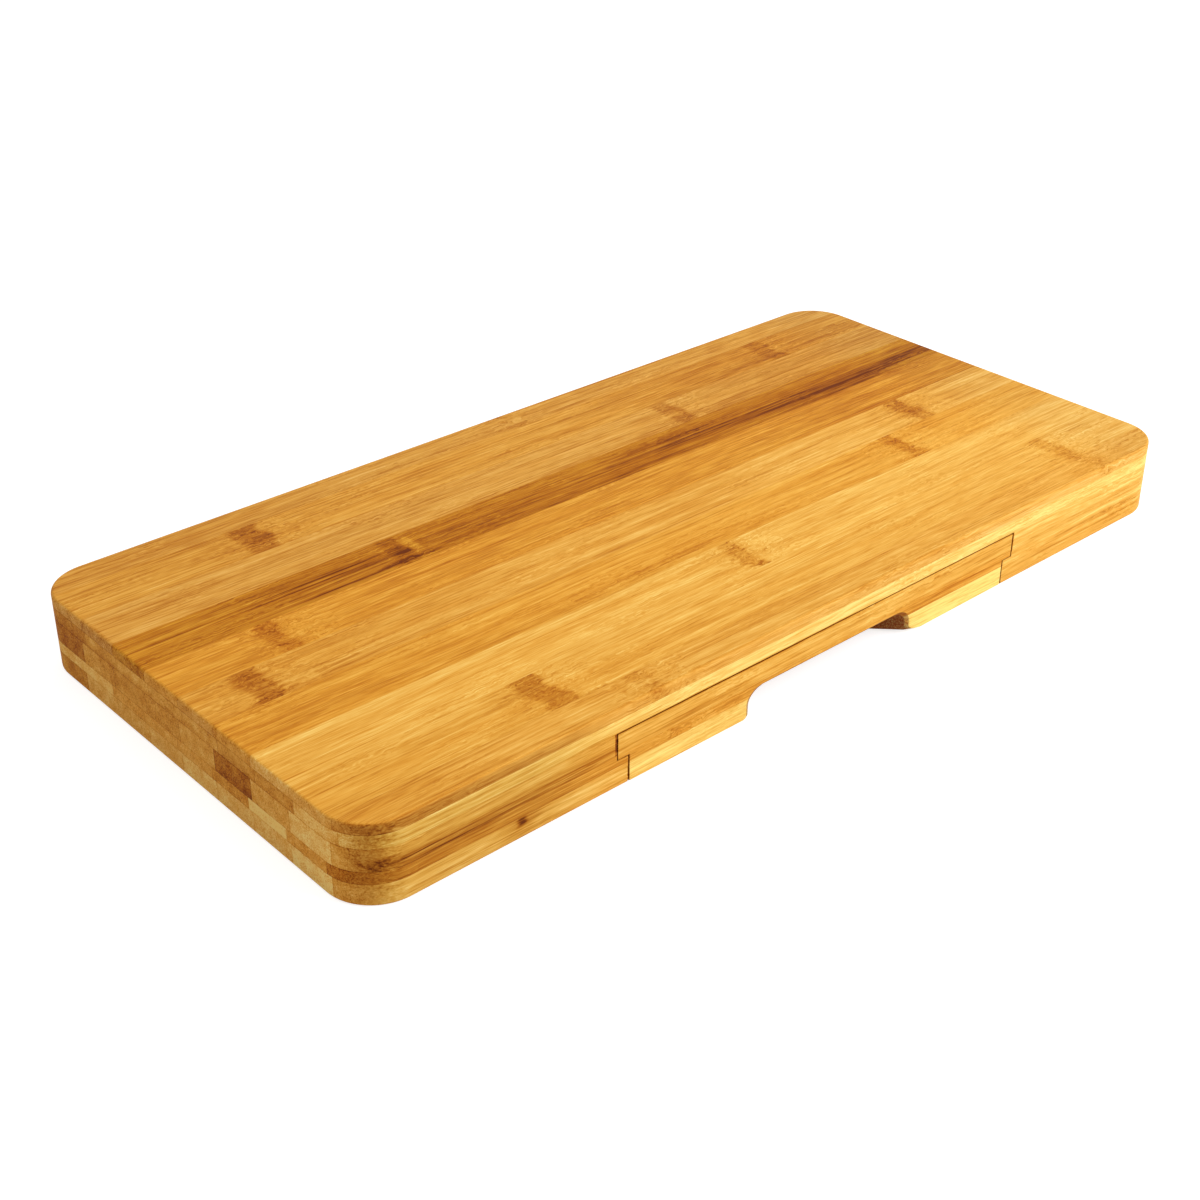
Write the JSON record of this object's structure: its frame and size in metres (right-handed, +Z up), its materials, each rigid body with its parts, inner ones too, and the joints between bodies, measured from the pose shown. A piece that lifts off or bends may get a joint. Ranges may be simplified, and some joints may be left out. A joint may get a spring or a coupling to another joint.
{
  "type": "cutting board with drawer",
  "caption": "Laminated bamboo cutting board with rounded corners and a wide drawer of milled cutlery trays that slides out of its long side on T-shaped flanges.",
  "frame": {"origin": "middle of the underside, on the surface that the board lies on", "axes": "+X along the board and its grain, -Y out of the drawer's front, +Z up"},
  "size_m": [0.4, 0.195, 0.03],
  "materials": {
    "cutting_surface": "oiled satin",
    "dark_stave": "oiled satin",
    "core_ply": "oiled satin",
    "frame_plies": "oiled satin",
    "drawer_floor": "oiled satin",
    "drawer_sides": "oiled satin"
  },
  "bodies": {
    "board": {"cutting_stave_01": "cutting_surface", "cutting_stave_02": "cutting_surface", "cutting_stave_03": "cutting_surface", "cutting_stave_04": "cutting_surface", "cutting_stave_05": "cutting_surface", "cutting_stave_06": "cutting_surface", "cutting_stave_07": "dark_stave", "cutting_stave_08": "cutting_surface", "cutting_stave_09": "cutting_surface", "cutting_stave_10": "cutting_surface", "core_strip_01": "core_ply", "core_strip_02": "core_ply", "core_strip_03": "core_ply", "core_strip_04": "core_ply", "core_strip_05": "core_ply", "core_strip_06": "core_ply", "core_strip_07": "core_ply", "core_strip_08": "core_ply", "core_strip_09": "core_ply", "core_strip_10": "core_ply", "lower_left_block": "frame_plies", "middle_left_block": "frame_plies", "upper_left_block": "frame_plies", "lower_right_block": "frame_plies", "middle_right_block": "frame_plies", "upper_right_block": "frame_plies", "lower_back_rail": "frame_plies", "middle_back_rail": "frame_plies", "upper_back_rail": "frame_plies"},
    "drawer": {"drawer_floor_strip_01": "drawer_floor", "drawer_floor_strip_02": "drawer_floor", "drawer_floor_strip_03": "drawer_floor", "drawer_floor_strip_04": "drawer_floor", "drawer_floor_strip_05": "drawer_floor", "drawer_floor_strip_06": "drawer_floor", "drawer_floor_strip_07": "drawer_floor", "drawer_floor_strip_08": "drawer_floor", "drawer_middle_strip_01": "drawer_sides", "drawer_middle_strip_02": "drawer_sides", "drawer_middle_strip_03": "drawer_sides", "drawer_middle_strip_04": "drawer_sides", "drawer_middle_strip_05": "drawer_sides", "drawer_middle_strip_06": "drawer_sides", "drawer_middle_strip_07": "drawer_sides", "drawer_middle_strip_08": "drawer_sides", "drawer_middle_strip_09": "drawer_sides", "drawer_upper_strip_01": "drawer_sides", "drawer_upper_strip_02": "drawer_sides", "drawer_upper_strip_03": "drawer_sides", "drawer_upper_strip_04": "drawer_sides", "drawer_upper_strip_05": "drawer_sides", "drawer_upper_strip_06": "drawer_sides", "drawer_upper_strip_07": "drawer_sides", "drawer_upper_strip_08": "drawer_sides", "drawer_upper_strip_09": "drawer_sides"}
  },
  "joints": [
    {"name": "drawer_slide", "type": "slide", "parent": "board", "child": "drawer", "axis": [0, -1, 0], "range_m": [0, 0.155]}
  ]
}
